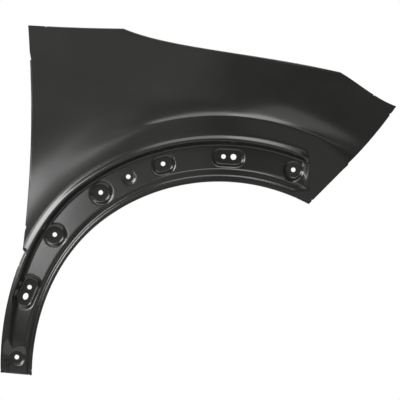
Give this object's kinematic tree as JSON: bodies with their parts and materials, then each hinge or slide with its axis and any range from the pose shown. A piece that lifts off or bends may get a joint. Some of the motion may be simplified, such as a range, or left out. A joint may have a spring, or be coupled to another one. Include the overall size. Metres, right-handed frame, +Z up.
{
  "type": "car fender",
  "caption": "Right front fender panel of a car, pressed from sheet steel: flared wheel arch with a recessed channel and seats for an arch moulding, long rear leg and turned-in mounting flanges",
  "frame": {"origin": "on the underside of the middle hood mounting pad, beside its bolt hole", "axes": "+X toward the front of the car, +Y inboard, away from the outer skin, +Z up"},
  "size_m": [0.8251, 0.1444, 0.7287],
  "materials": {
    "black_primer": "semi-gloss black electrophoretic primer on steel"
  },
  "bodies": {
    "root": {"fender_panel": "black_primer"}
  },
  "joints": []
}
